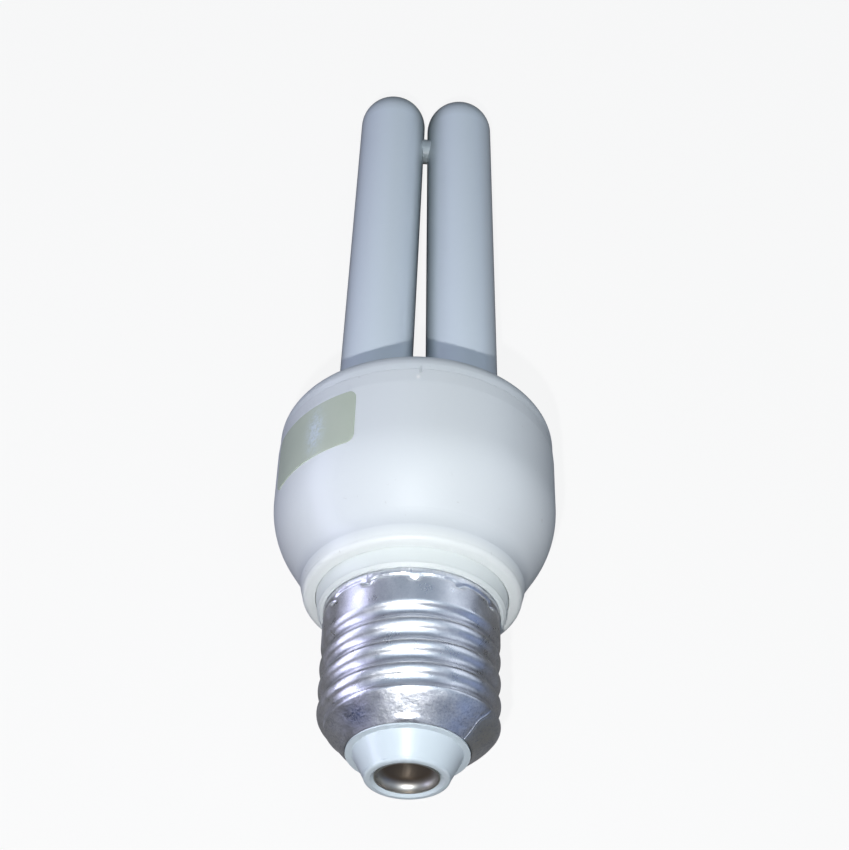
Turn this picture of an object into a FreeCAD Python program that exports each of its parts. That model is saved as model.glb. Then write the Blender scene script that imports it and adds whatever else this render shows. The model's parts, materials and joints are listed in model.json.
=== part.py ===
"""A compact fluorescent lamp with one U shaped tube and an E27 screw base, in millimetres.

The lamp is drawn on its own axis, with the contact at height 0 and the tube upwards. It can't
stand unheld, so at the end it is laid down as it comes to rest, on the shoulder of its housing
and the two domes of its tube.
"""
import math
import os

import FreeCAD
import Part

# Screw shell, by the E27 standard
PITCH = 25.4 / 7
CREST_R = 13.1
BAND_R = 13.13
THREAD_DEPTH = 0.85
THREAD_TOP = 21.5
THREAD_BOTTOM = 7.4
THREAD_FADE = 0.9
SHEET = 0.45
SHELL_TOP = 26.7
SHELL_BOTTOM = 4.15
SHELL_MOUTH_R = 8.9
SKIRT_SLOPE = 1.02
SKIRT_BEND = 0.35
BULGE = 0.4
BULGE_TURN = -15.0
BULGE_Z = 6.9
BULGE_SPREAD = 1.5
SHELL_COLUMNS = 48
SHELL_ROWS = 48
CRIMP_Z = 25.3
CRIMP_DEPTH = 0.2
CRIMP_HEIGHT = 0.5

# Insulator and the contact in it
FLANGE_Z = 3.85
FLANGE_R = 8.78
LEDGE = 0.93
TIP_R = 6.0
TIP_ROUND = 0.5
TIP_SWELL = 0.1
MOUTH_R = 4.65
PLUG_TOP = 8.0
CONTACT_EDGE = 0.3
CONTACT_FLOOR = 1.9
CONTACT_ROUND = 1.5
CONTACT_THICK = 0.3

# Collar between the shell and the housing
COLLAR_Z = 26.4
COLLAR_R = 14.0
COLLAR_BEVEL = 0.4
COLLAR_WALL = 1.1
COLLAR_TAIL = 8.5
COLLAR_HEAD = 1.1
COLLAR_FLARE = 0.36
COLLAR_NAPE_Z = 27.1

# Lower housing
LIP_Z = 29.1
LIP_R = 16.45
LIP_ROUND = 0.9
LIP_THICK = 2.0
HOUSING_WALL = 1.4
FLOOR_Z = 32.0
MOULD_STEP = 0.3
MOULD_DROP = 1.5
NECK_FLARE = 0.37
NECK_ROUND = 5.0
CONE_ANGLE = math.radians(31.0)
CONE_Z = 34.0
BELLY_ROUND = 15.5
BELLY_R = 21.86
BELLY_TOP = 54.0
SEAM_Z = 56.45
SEAM_DRAFT = 0.16
SEAM_BEVEL = 0.06
RIB_COUNT = 4
RIB_WIDTH = 1.2
RIB_REACH = 2.4
RIB_HEIGHT = 8.0

# Tube cover
COVER_SIDE = 1.05
SHOULDER_ROUND = 3.1
COVER_PLATE = 1.6
COVER_SKIRT = 1.2
SOCKET_WALL = 1.25
SOCKET_LENGTH = 5.0
SNAP_COUNT = 4
SNAP_TURN = -92.8
SNAP_WIDTH = 0.4
SNAP_HEIGHT = 1.0

# Discharge tube
TUBE_R = 6.0
TUBE_TOP = 142.2
LEG_OFFSET_FOOT = 7.31
LEG_OFFSET_TOP = 6.27
BRIDGE_R = 2.3
BRIDGE_DROP = 6.0
FOOT_CLEAR = 2.8
FOOT_TAPER = 1.4
FOOT_R = 3.4
PINCH = (5.6, 2.0, 1.4)
CEMENT_WALL = 0.8
CEMENT_HEIGHT = 2.4

# Circuit board and what stands on it. What is near the rim has an inset from it and a turn.
BOARD_DEPTH = 9.45
BOARD_THICK = 1.6
POST_SIDE = 0.8
POST_HEIGHT = 4.2
POST_REACH = 9.5
LEAD_R = 0.35
CAPACITOR_R = 5.0
CAPACITOR_LENGTH = 13.5
CAPACITOR_BEVEL = 0.5
CAPACITOR_PLACE = (0.0, -8.0)
CORE_SIZE = (12.0, 5.0, 10.0)
CORE_LIMB = 1.6
CORE_PLACE = (6.0, 6.0)
BOBBIN_WALL = 0.6
BOBBIN_DEPTH = 10.0
COIL_DEPTH = 9.0
COIL_ROUND = 1.2
RING_R = 4.2
RING_BORE_R = 2.2
RING_THICK = 3.0
RING_INSET = 8.2
RING_TURN = 149.5
WINDING_THICK = 0.5
WINDING_ARC = 55.0
FILM_SIZE = (7.0, 3.2, 6.0)
FILM_ROUND = 0.6
FILM_INSETS = (7.2, 6.0, 6.2)
FILM_TURNS = (198.0, 229.0, 107.0)
TRANSISTOR_R = 2.3
TRANSISTOR_HEIGHT = 4.6
TRANSISTOR_FLAT = 2.26
TRANSISTOR_LEG = 0.5
TRANSISTOR_LEG_PITCH = 1.27
TRANSISTOR_INSETS = (8.0, 6.5)
TRANSISTOR_TURNS = (-43.0, -11.0)
LEG_HEIGHT = 2.0
FUSE_R = 1.5
FUSE_LENGTH = 8.0
FUSE_PLACE = (5.0, -1.0)
DIODE_R = 1.3
DIODE_LENGTH = 5.0
DIODE_INSET = 5.6
DIODE_TURNS = (70.5, 109.5, -70.5, -109.5)
LYING_LIFT = 0.2
RESISTOR_R = 1.0
RESISTOR_LENGTH = 4.2
RESISTOR_INSET = 4.2
RESISTOR_TURNS = (32.0, 148.0, -32.0, -148.0)
LEAD_BEND = 8.0
CONTACT_LEAD_PLACE = (-3.0, 2.0)
SHELL_LEAD_PLACE = (-6.5, -1.5)

# Label
LABEL_THICK = 0.15
LABEL_LOW = 43.9
LABEL_HIGH = 53.5
LABEL_FROM = -166.6
LABEL_TO = -118.6
LABEL_CORNER = 1.3

# Clearances
FIT = 0.1
SEAT = 0.05

# Places that follow from the sizes above
ORIGIN = FreeCAD.Vector(0, 0, 0)
AXIS = FreeCAD.Vector(0, 0, 1)
SHELL_BORE_R = CREST_R - THREAD_DEPTH - SHEET
COLLAR_BORE_R = SHELL_BORE_R - FIT - COLLAR_WALL
NAPE_R = COLLAR_R + COLLAR_FLARE
LIP_INNER_R = NAPE_R + FIT
LEDGE_Z = LIP_Z + LIP_THICK
COLLAR_TOP = LEDGE_Z + SEAT + COLLAR_HEAD
CONE_FOOT_R = LIP_R + NECK_FLARE + NECK_ROUND * (1 - math.cos(CONE_ANGLE))
CONE_REACH = (BELLY_R - CONE_FOOT_R) / math.sin(CONE_ANGLE)
BEND_REACH = min(BELLY_ROUND * math.tan(CONE_ANGLE / 2), 0.9 * CONE_REACH)
BEND_R = BEND_REACH / math.tan(CONE_ANGLE / 2)
BELLY_Z = CONE_Z + CONE_REACH * math.cos(CONE_ANGLE) + BEND_REACH
SEAM_R = BELLY_R - SEAM_DRAFT
HOUSING_BORE_R = SEAM_R - HOUSING_WALL
BOARD_Z = SEAM_Z - BOARD_DEPTH
BOARD_TOP = BOARD_Z + BOARD_THICK
PINCH_Z = BOARD_TOP + FOOT_CLEAR
TUBE_FOOT = PINCH_Z + PINCH[2] + FOOT_TAPER
SHOULDER_Z = SEAM_Z + COVER_SIDE
COVER_TOP = SHOULDER_Z + SHOULDER_ROUND
SOCKET_FOOT = COVER_TOP - COVER_PLATE - SOCKET_LENGTH
SOCKET_R = TUBE_R + FIT + SEAT
CUP_R = SOCKET_R + CEMENT_WALL
CUP_TOP = SOCKET_FOOT + CEMENT_HEIGHT
DOME_Z = TUBE_TOP - TUBE_R
BRIDGE_Z = DOME_Z - BRIDGE_DROP
BOARD_R = HOUSING_BORE_R - 3 * FIT
CONTACT_BACK = CONTACT_FLOOR + CONTACT_THICK


def corner(radius, height):
    """A point of a section, which is drawn in the plane through the axis."""
    return FreeCAD.Vector(radius, 0, height)


def chain(*corners):
    """Straight edges through (radius, height) corners."""
    return [Part.makeLine(corner(*a), corner(*b)) for a, b in zip(corners, corners[1:])]


def arc(start, middle, end):
    """A round edge through three (radius, height) points."""
    return Part.Arc(corner(*start), corner(*middle), corner(*end)).toShape()


def quarter(start, end, bulge_to):
    """A rounded corner from start to end, bowed towards the sharp corner bulge_to."""
    centre = (start[0] + end[0] - bulge_to[0], start[1] + end[1] - bulge_to[1])
    share = math.sqrt(0.5)
    middle = tuple(c + share * (s + e - 2 * c) for c, s, e in zip(centre, start, end))
    return arc(start, middle, end)


def turned(edges, degrees=360.0):
    """The solid that a closed chain of edges makes when it is turned about the axis."""
    wire = Part.Wire(Part.sortEdges(edges)[0])
    return Part.Face(wire).revolve(ORIGIN, AXIS, degrees)


def turned_polygon(*corners, degrees=360.0):
    """The solid that straight edges through corners make when they are turned."""
    return turned(chain(*corners, corners[0]), degrees)


def rod(start, end, radius):
    """A round bar from one point to another."""
    start = FreeCAD.Vector(*start)
    way = FreeCAD.Vector(*end) - start
    return Part.makeCylinder(radius, way.Length, start, way)


def bent_wire(points, radius=LEAD_R):
    """A wire: straight bars with a ball at each bend."""
    bars = [rod(a, b, radius) for a, b in zip(points, points[1:])]
    balls = [Part.makeSphere(radius, FreeCAD.Vector(*p)) for p in points[1:-1]]
    return bars[0].multiFuse(bars[1:] + balls) if bars[1:] else bars[0]


def block(place, size, top):
    """A box centred on (x, y) that hangs down from a height."""
    low = FreeCAD.Vector(place[0] - size[0] / 2, place[1] - size[1] / 2, top - size[2])
    return Part.makeBox(*size, low)


def round_upright(solid, radius):
    """Rounds the upright edges of a solid."""
    upright = [e for e in solid.Edges if abs(e.tangentAt(e.FirstParameter).z) > 0.99]
    return solid.makeFillet(radius, upright)


def at(solid, place, height=0.0):
    """A copy of a solid moved to (x, y) and up by a height."""
    copy = solid.copy()
    copy.translate(FreeCAD.Vector(place[0], place[1], height))
    return copy


def spin(solid, degrees):
    """A copy of a solid turned about the lamp's axis."""
    copy = solid.copy()
    copy.rotate(ORIGIN, AXIS, degrees)
    return copy


def near_rim(inset, turn):
    """The (x, y) of a place on the board that is an inset from its rim."""
    reach = BOARD_R - inset
    return reach * math.cos(math.radians(turn)), reach * math.sin(math.radians(turn))


def flat_face(points):
    """A flat face with straight edges."""
    return Part.Face(Part.makePolygon(points + points[:1]))


def group(solids):
    """Separate solids of one kind kept together."""
    return Part.makeCompound([s for shape in solids for s in shape.Solids])


def thread_dip(turn, height):
    """How deep the groove lies under the crest, at an angle in degrees and a height.

    Two equal arcs make the thread's outline, one for the crest and one for the root. They meet
    at mid depth. The groove fades out at both ends, where it climbs past the threaded stretch.
    """
    rise = PITCH * (turn + 90.0) / 360.0
    from_crest = (height - THREAD_TOP - rise) % PITCH
    offset = min(from_crest, PITCH - from_crest)
    half = PITCH / 4
    arc_r = (half ** 2 + (THREAD_DEPTH / 2) ** 2) / THREAD_DEPTH
    if offset < half:
        dip = arc_r - math.sqrt(arc_r ** 2 - offset ** 2)
    else:
        dip = THREAD_DEPTH - arc_r + math.sqrt(arc_r ** 2 - (PITCH / 2 - offset) ** 2)
    room = min(THREAD_TOP - height, height - THREAD_BOTTOM)
    return dip * min(1.0, max(0.0, room / THREAD_FADE))


def shell_radius(turn, height):
    """The outside of the screw shell: skirt, thread and plain band in one formula."""
    cone = SHELL_MOUTH_R + SKIRT_SLOPE * (height - SHELL_BOTTOM)
    gap = cone - CREST_R
    plain = 0.5 * (cone + CREST_R - math.sqrt(gap ** 2 + SKIRT_BEND ** 2))
    side = math.cos(math.radians(turn - BULGE_TURN))
    dent = BULGE * side * math.exp(-((height - BULGE_Z) / BULGE_SPREAD) ** 2)
    return plain + dent - thread_dip(turn, height)


def screw_shell():
    """The threaded metal sleeve, with a helical thread in facets finer than can be felt."""
    turns = [360.0 * j / SHELL_COLUMNS for j in range(SHELL_COLUMNS)]
    heights = [SHELL_BOTTOM + (THREAD_TOP - SHELL_BOTTOM) * i / SHELL_ROWS
               for i in range(SHELL_ROWS + 1)]
    rings = [[FreeCAD.Vector(shell_radius(t, h) * math.cos(math.radians(t)),
                             shell_radius(t, h) * math.sin(math.radians(t)), h) for t in turns]
             for h in heights]
    facets = [flat_face(rings[0]), flat_face(rings[-1])]
    for lower, upper in zip(rings, rings[1:]):
        for j in range(SHELL_COLUMNS):
            k = (j + 1) % SHELL_COLUMNS
            facets += [flat_face([lower[j], lower[k], upper[j]]),
                       flat_face([lower[k], upper[k], upper[j]])]
    wall = Part.makeShell(facets)
    wall.sewShape()
    threaded = Part.Solid(wall)
    low, high = CRIMP_Z - CRIMP_HEIGHT / 2, CRIMP_Z + CRIMP_HEIGHT / 2
    band = turned_polygon((0, THREAD_TOP), (BAND_R, THREAD_TOP), (BAND_R, low),
                          (BAND_R - CRIMP_DEPTH, CRIMP_Z), (BAND_R, high), (BAND_R, SHELL_TOP),
                          (0, SHELL_TOP))
    bend_z = SHELL_BOTTOM + (SHELL_BORE_R - SHELL_MOUTH_R + SHEET) / SKIRT_SLOPE + SHEET
    mouth = SHELL_MOUTH_R - SHEET
    below, above = SHELL_BOTTOM - 1.0, SHELL_TOP + 1.0
    hollow = turned_polygon((0, below), (mouth, below), (mouth, SHELL_BOTTOM + SHEET),
                            (SHELL_BORE_R, bend_z + SHEET), (SHELL_BORE_R, above), (0, above))
    return threaded.fuse(band).cut(hollow)


def insulator():
    """The white cone that keeps the contact apart from the shell."""
    neck = SHELL_MOUTH_R - SHEET - FIT
    foot = FLANGE_R - LEDGE
    seat = SHELL_BOTTOM - SEAT
    inner_tip = MOUTH_R + TIP_ROUND
    slope_r = TIP_R + TIP_SWELL
    edges = chain((MOUTH_R, TIP_ROUND), (inner_tip, 0), (slope_r - TIP_ROUND, 0))
    edges += [quarter((slope_r - TIP_ROUND, 0), (slope_r, TIP_ROUND), (slope_r, 0))]
    edges += chain((slope_r, TIP_ROUND), (foot, FLANGE_Z), (FLANGE_R, FLANGE_Z),
                   (FLANGE_R, seat), (neck, seat), (neck, PLUG_TOP), (LEAD_R + FIT, PLUG_TOP),
                   (LEAD_R + FIT, CONTACT_BACK), (MOUTH_R, CONTACT_BACK),
                   (MOUTH_R, TIP_ROUND))
    return turned(edges)


def contact():
    """The metal cup in the cone's mouth."""
    rim, back = MOUTH_R - SEAT, CONTACT_BACK - SEAT
    wall = rim - CONTACT_THICK
    flat, upright = (wall - CONTACT_ROUND, CONTACT_FLOOR), (wall, CONTACT_FLOOR - CONTACT_ROUND)
    return turned(chain(upright, (wall, CONTACT_EDGE), (rim, CONTACT_EDGE), (rim, back),
                        (0, back), (0, CONTACT_FLOOR), flat)
                  + [quarter(flat, upright, (wall, CONTACT_FLOOR))])


def neck_collar():
    """The plastic sleeve that the shell is crimped on and that the housing holds."""
    sleeve = SHELL_BORE_R - FIT
    rim = BAND_R + FIT
    shelf = SHELL_TOP + SEAT
    return turned_polygon(
        (COLLAR_BORE_R, SHELL_TOP - COLLAR_TAIL), (sleeve, SHELL_TOP - COLLAR_TAIL),
        (sleeve, shelf), (rim, shelf), (rim, COLLAR_Z), (COLLAR_R - COLLAR_BEVEL, COLLAR_Z),
        (COLLAR_R, COLLAR_Z + COLLAR_BEVEL), (COLLAR_R, COLLAR_NAPE_Z), (NAPE_R, LIP_Z),
        (NAPE_R, LEDGE_Z + SEAT), (NAPE_R + COLLAR_HEAD, LEDGE_Z + SEAT),
        (NAPE_R + COLLAR_HEAD, COLLAR_TOP), (COLLAR_BORE_R, COLLAR_TOP))


def belly_outline(inwards=0.0):
    """The housing's outside from the lip to the seam, or one moved inwards by a distance.

    It is a hollow round at the neck, a cone, a full round and the upright belly, each tangent
    to the next. Returns the edges, the lowest point and the highest point.
    """
    full, hollow = BEND_R - inwards, NECK_ROUND + inwards
    full_r = BELLY_R - BEND_R
    hollow_r = LIP_R + NECK_FLARE + NECK_ROUND
    hollow_z = CONE_Z - NECK_ROUND * math.sin(CONE_ANGLE)

    def on_full(angle):
        return full_r + full * math.cos(angle), BELLY_Z - full * math.sin(angle)

    def on_hollow(angle):
        return hollow_r - hollow * math.cos(angle), hollow_z + hollow * math.sin(angle)

    low, top = on_hollow(0), (SEAM_R - inwards, SEAM_Z)
    edges = [arc(low, on_hollow(CONE_ANGLE / 2), on_hollow(CONE_ANGLE))]
    edges += chain(on_hollow(CONE_ANGLE), on_full(CONE_ANGLE))
    edges += [arc(on_full(CONE_ANGLE), on_full(CONE_ANGLE / 2), on_full(0))]
    edges += chain(on_full(0), (BELLY_R - inwards, BELLY_TOP), top)
    return edges, low, top


def housing_blank(inwards=0.0):
    """The solid inside the housing's outer surface, or inside one moved in by a distance."""
    edges, low, top = belly_outline(inwards)
    return turned(edges + chain(top, (0, top[1]), (0, low[1]), low))


def lower_housing():
    """The white shell from the lip to the seam, with its board ribs and snap windows."""
    neck = belly_outline()[1]
    lip = turned(chain((0, LIP_Z), (LIP_R - LIP_ROUND, LIP_Z))
                 + [quarter((LIP_R - LIP_ROUND, LIP_Z), (LIP_R, LIP_Z + LIP_ROUND),
                            (LIP_R, LIP_Z))]
                 + chain((LIP_R, LIP_Z + LIP_ROUND), neck, (0, neck[1]), (0, LIP_Z)))
    outside = lip.fuse(housing_blank())
    head_room = NAPE_R + COLLAR_HEAD + FIT
    head_top = COLLAR_TOP + 10 * FIT
    past_wall = HOUSING_WALL / math.cos(CONE_ANGLE)
    cone_r = BELLY_R - BEND_R * (1 - math.cos(CONE_ANGLE)) - past_wall
    cone_z = BELLY_Z - BEND_R * math.sin(CONE_ANGLE)
    floor_r = cone_r - (cone_z - FLOOR_Z) * math.tan(CONE_ANGLE)
    hollow = turned_polygon((0, FLOOR_Z), (floor_r, FLOOR_Z), (cone_r, cone_z),
                            (HOUSING_BORE_R - MOULD_STEP, BOARD_Z - MOULD_DROP),
                            (HOUSING_BORE_R, BOARD_Z),
                            (HOUSING_BORE_R, SEAM_Z + 1), (0, SEAM_Z + 1))
    head_space = turned_polygon((0, LEDGE_Z), (head_room, LEDGE_Z), (head_room, head_top),
                                (0, head_top))
    through = Part.makeCylinder(LIP_INNER_R, LIP_THICK + 2, FreeCAD.Vector(0, 0, LIP_Z - 1))
    shell = outside.cut(hollow).cut(head_space).cut(through)
    reach = HOUSING_BORE_R - RIB_REACH
    rib = Part.makeBox(RIB_REACH + HOUSING_WALL, RIB_WIDTH, RIB_HEIGHT,
                       FreeCAD.Vector(reach, -RIB_WIDTH / 2, BOARD_Z - RIB_HEIGHT))
    ribs = [spin(rib, 360.0 * i / RIB_COUNT) for i in range(RIB_COUNT)]
    shell = shell.multiFuse([r.common(outside) for r in ribs])
    bevel = turned_polygon((SEAM_R - SEAM_BEVEL, SEAM_Z), (SEAM_R + 1, SEAM_Z + 1),
                           (SEAM_R + 1, SEAM_Z - SEAM_BEVEL - 1))
    window = Part.makeBox(3.0, SNAP_WIDTH, SNAP_HEIGHT + 1,
                          FreeCAD.Vector(SEAM_R - HOUSING_WALL / 2, -SNAP_WIDTH / 2,
                                         SEAM_Z - SNAP_HEIGHT))
    windows = [spin(window, SNAP_TURN + 360.0 * i / SNAP_COUNT) for i in range(SNAP_COUNT)]
    return shell.cut(bevel).cut(Part.makeCompound(windows))


def leg_offset(height):
    """How far a leg of the tube stands from the lamp's axis: the legs lean together."""
    share = (height - COVER_TOP) / (DOME_Z - COVER_TOP)
    return LEG_OFFSET_FOOT + share * (LEG_OFFSET_TOP - LEG_OFFSET_FOOT)


def leg_rod(side, low, high, radius):
    """A bar along the middle line of a leg."""
    return rod((side * leg_offset(low), 0, low), (side * leg_offset(high), 0, high), radius)


def socket(side, low, high, radius):
    """An upright round bar about the stretch of a leg that stands in the cover."""
    x = side * leg_offset((SOCKET_FOOT + COVER_TOP) / 2)
    return Part.makeCylinder(radius, high - low, FreeCAD.Vector(x, 0, low))


def tube_cover():
    """The cap on top of the housing, with a socket for each leg and a skirt in the housing."""
    skirt_r = HOUSING_BORE_R - FIT
    plate_z = COVER_TOP - COVER_PLATE
    edge = SEAM_R - SHOULDER_ROUND
    seam = SEAM_Z + SEAT
    slant = SHOULDER_ROUND * math.sqrt(0.5)
    edges = chain((0, COVER_TOP), (edge, COVER_TOP))
    edges += [arc((edge, COVER_TOP), (edge + slant, SHOULDER_Z + slant), (SEAM_R, SHOULDER_Z))]
    edges += chain((SEAM_R, SHOULDER_Z), (SEAM_R - SEAM_BEVEL, seam), (skirt_r, seam),
                   (skirt_r, BOARD_TOP + SEAT), (skirt_r - COVER_SKIRT, BOARD_TOP + SEAT),
                   (skirt_r - COVER_SKIRT, plate_z), (0, plate_z), (0, COVER_TOP))
    cover = turned(edges)
    bores = [socket(s, SOCKET_FOOT - 1, COVER_TOP + 1, SOCKET_R) for s in (-1, 1)]
    cups = [socket(s, SOCKET_FOOT - 1, CUP_TOP, CUP_R) for s in (-1, 1)]
    walls = [socket(s, SOCKET_FOOT, plate_z + COVER_PLATE / 2, SOCKET_R + SOCKET_WALL)
             for s in (-1, 1)]
    return cover.multiFuse(walls).cut(Part.makeCompound(bores)).cut(Part.makeCompound(cups))


def discharge_tube():
    """The sealed glass vessel: two domed legs, a short bridge and two pinched feet."""
    legs = []
    for side in (-1, 1):
        leg = leg_rod(side, TUBE_FOOT, DOME_Z, TUBE_R)
        top = leg_offset(DOME_Z)
        foot = leg_offset(TUBE_FOOT)
        dome = Part.makeSphere(TUBE_R, FreeCAD.Vector(side * top, 0, DOME_Z))
        lean = FreeCAD.Vector(side * (foot - top), 0, TUBE_FOOT - DOME_Z)
        taper = Part.makeCone(TUBE_R, FOOT_R, FOOT_TAPER,
                              FreeCAD.Vector(side * foot, 0, TUBE_FOOT), lean)
        pinch = block((side * foot, 0), (PINCH[0], PINCH[1], PINCH[2] + 0.3),
                      PINCH_Z + PINCH[2] + 0.3)
        legs += [leg, dome, taper, pinch]
    reach = leg_offset(BRIDGE_Z)
    bridge = rod((-reach, 0, BRIDGE_Z), (reach, 0, BRIDGE_Z), BRIDGE_R)
    return legs[0].multiFuse(legs[1:] + [bridge]).removeSplitter()


def tube_cement():
    """The two rings of cement that hold the legs in their sockets."""
    rings = []
    for side in (-1, 1):
        outer = socket(side, SOCKET_FOOT + SEAT, CUP_TOP - SEAT, CUP_R - SEAT)
        rings.append(outer.cut(socket(side, SOCKET_FOOT - 1, CUP_TOP + 1, SOCKET_R)))
    return group(rings)


def circuit_board():
    """The round board that carries the ballast and stands on the housing's ribs."""
    board = Part.makeCylinder(BOARD_R, BOARD_THICK, FreeCAD.Vector(0, 0, BOARD_Z))
    holes = [Part.makeCylinder(LEAD_R + FIT, BOARD_THICK + 2,
                               FreeCAD.Vector(p[0], p[1], BOARD_Z - 1))
             for p in (CONTACT_LEAD_PLACE, SHELL_LEAD_PLACE)]
    return board.cut(Part.makeCompound(holes))


def wire_posts():
    """Four square pins that the tube's wires are wound on."""
    places = [(sx * leg_offset(TUBE_FOOT), sy * POST_REACH) for sx in (-1, 1) for sy in (-1, 1)]
    return group([block(p, (POST_SIDE, POST_SIDE, POST_HEIGHT), BOARD_TOP + POST_HEIGHT)
                  for p in places])


def tube_leads():
    """The two wires of each filament, from the pinch to the posts."""
    leads = []
    for sx in (-1, 1):
        x = sx * leg_offset(TUBE_FOOT)
        for sy in (-1, 1):
            start = (x, sy * (PINCH[1] / 2 - LEAD_R), PINCH_Z - LEAD_R / 2)
            end = (x, sy * (POST_REACH - POST_SIDE / 2 - LEAD_R), PINCH_Z - 2 * LEAD_R)
            leads.append(rod(start, end, LEAD_R / 2))
    return group(leads)


def filter_capacitor():
    """The electrolytic capacitor, a can that hangs under the board."""
    can = Part.makeCylinder(CAPACITOR_R, CAPACITOR_LENGTH,
                            FreeCAD.Vector(*CAPACITOR_PLACE, BOARD_Z - CAPACITOR_LENGTH))
    lower = [e for e in can.Edges if e.CenterOfMass.z < BOARD_Z - CAPACITOR_LENGTH + 1
             and e.isClosed()]
    return can.makeChamfer(CAPACITOR_BEVEL, lower)


def window_size():
    """Width and height of each of the core's two windows."""
    limb = CORE_LIMB
    return (CORE_SIZE[0] - 4 * limb) / 2, CORE_SIZE[2] - 2 * limb


def choke_core():
    """The choke's ferrite core, two E shaped halves glued to one piece."""
    wide, tall = window_size()
    core = block((0, 0), CORE_SIZE, BOARD_Z)
    offset = CORE_LIMB + wide / 2
    windows = [block((s * offset, 0), (wide, CORE_SIZE[1] + 2, tall), BOARD_Z - CORE_LIMB)
               for s in (-1, 1)]
    return at(core.cut(Part.makeCompound(windows)), CORE_PLACE)


def choke_bobbin():
    """The plastic former around the core's middle limb."""
    wide, tall = window_size()
    top = BOARD_Z - CORE_LIMB - SEAT
    height = tall - 2 * SEAT
    hole = (2 * (CORE_LIMB + FIT), CORE_SIZE[1] + 2 * FIT)
    tube = (hole[0] + 2 * BOBBIN_WALL, hole[1] + 2 * BOBBIN_WALL)
    flange = (2 * (CORE_LIMB + wide - FIT), BOBBIN_DEPTH, BOBBIN_WALL)
    body = block((0, 0), (*tube, height), top).multiFuse(
        [block((0, 0), flange, top), block((0, 0), flange, top - height + BOBBIN_WALL)])
    return at(body.cut(block((0, 0), (*hole, height + 2), top + 1)), CORE_PLACE)


def choke_winding():
    """The choke's coil of copper wire, between the flanges of the bobbin."""
    wide, tall = window_size()
    height = tall - 2 * BOBBIN_WALL - 4 * SEAT
    top = BOARD_Z - CORE_LIMB - BOBBIN_WALL - 2 * SEAT
    hole = (2 * (CORE_LIMB + FIT + BOBBIN_WALL + SEAT),
            CORE_SIZE[1] + 2 * (FIT + BOBBIN_WALL + SEAT))
    coil = block((0, 0), (2 * (CORE_LIMB + wide - 2 * FIT), COIL_DEPTH, height), top)
    return at(round_upright(coil, COIL_ROUND).cut(block((0, 0), (*hole, height + 2), top + 1)),
              CORE_PLACE)


def ring_section(grow):
    """The section of the drive transformer's ring, larger by a margin."""
    middle = BOARD_Z - WINDING_THICK - SEAT - RING_THICK / 2
    half = RING_THICK / 2 + grow
    low, high = RING_BORE_R - grow, RING_R + grow
    return ((low, middle - half), (high, middle - half), (high, middle + half),
            (low, middle + half))


def drive_ring():
    """The small ferrite ring that drives the two transistors."""
    return at(turned_polygon(*ring_section(0)), near_rim(RING_INSET, RING_TURN))


def drive_windings():
    """Three short windings around the ring."""
    outer = turned_polygon(*ring_section(WINDING_THICK), degrees=WINDING_ARC)
    coil = outer.cut(turned_polygon(*ring_section(SEAT)))
    return group([at(spin(coil, 120.0 * i), near_rim(RING_INSET, RING_TURN)) for i in range(3)])


def film_capacitors():
    """Film capacitors with rounded cases, under the board."""
    return group([round_upright(block(near_rim(inset, turn), FILM_SIZE, BOARD_Z), FILM_ROUND)
                  for inset, turn in zip(FILM_INSETS, FILM_TURNS)])


def transistors():
    """Two transistors with flat-sided cases on three legs."""
    case = Part.makeCylinder(TRANSISTOR_R, TRANSISTOR_HEIGHT,
                             FreeCAD.Vector(0, 0, BOARD_Z - LEG_HEIGHT - TRANSISTOR_HEIGHT))
    flat = block((0, TRANSISTOR_R - TRANSISTOR_FLAT - 2 * TRANSISTOR_R),
                 (3 * TRANSISTOR_R, 2 * TRANSISTOR_R, 3 * TRANSISTOR_HEIGHT), BOARD_Z)
    leg = (TRANSISTOR_LEG, TRANSISTOR_LEG, LEG_HEIGHT)
    legs = [block((side * TRANSISTOR_LEG_PITCH, 0), leg, BOARD_Z) for side in (-1, 0, 1)]
    whole = case.cut(flat).multiFuse(legs)
    return group([at(whole, near_rim(inset, turn))
                  for inset, turn in zip(TRANSISTOR_INSETS, TRANSISTOR_TURNS)])


def fuse_resistor():
    """The upright resistor that is the lamp's fuse."""
    top = BOARD_Z - LEG_HEIGHT
    case = Part.makeCylinder(FUSE_R, FUSE_LENGTH, FreeCAD.Vector(0, 0, top - FUSE_LENGTH))
    leg = Part.makeCylinder(LEAD_R, LEG_HEIGHT, FreeCAD.Vector(0, 0, top))
    return at(case.fuse(leg), FUSE_PLACE)


def lying_part(radius, length):
    """A small round part just over the board, held by its two leads."""
    half = length / 2
    lift = BOARD_TOP + radius + LYING_LIFT
    case = rod((-half, 0, lift), (half, 0, lift), radius)
    side = 2 * LEAD_R
    legs = [block((s * (half + side / 2), 0), (side, side, lift + side / 2 - BOARD_TOP),
                  lift + side / 2) for s in (-1, 1)]
    return case.multiFuse(legs)


def diodes():
    """The four diodes of the rectifier."""
    diode = lying_part(DIODE_R, DIODE_LENGTH)
    return group([at(diode, near_rim(DIODE_INSET, turn)) for turn in DIODE_TURNS])


def resistors():
    """The ballast's small resistors."""
    resistor = spin(lying_part(RESISTOR_R, RESISTOR_LENGTH), 90.0)
    return group([at(resistor, near_rim(RESISTOR_INSET, turn)) for turn in RESISTOR_TURNS])


def contact_lead():
    """The wire from the board down the middle of the base to the contact."""
    x, y = CONTACT_LEAD_PLACE
    return bent_wire([(x, y, BOARD_TOP), (x, y, COLLAR_TOP), (0, 0, PLUG_TOP + LEAD_BEND),
                      (0, 0, CONTACT_BACK)])


def shell_lead():
    """The wire from the board to the inside of the screw shell, below the collar."""
    x, y = SHELL_LEAD_PLACE
    low = SHELL_TOP - COLLAR_TAIL - 3 * LEAD_R
    share = (SHELL_BORE_R - SEAT) / math.hypot(x, y)
    return bent_wire([(x, y, BOARD_TOP), (x, y, low), (share * x, share * y, low)])


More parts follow.
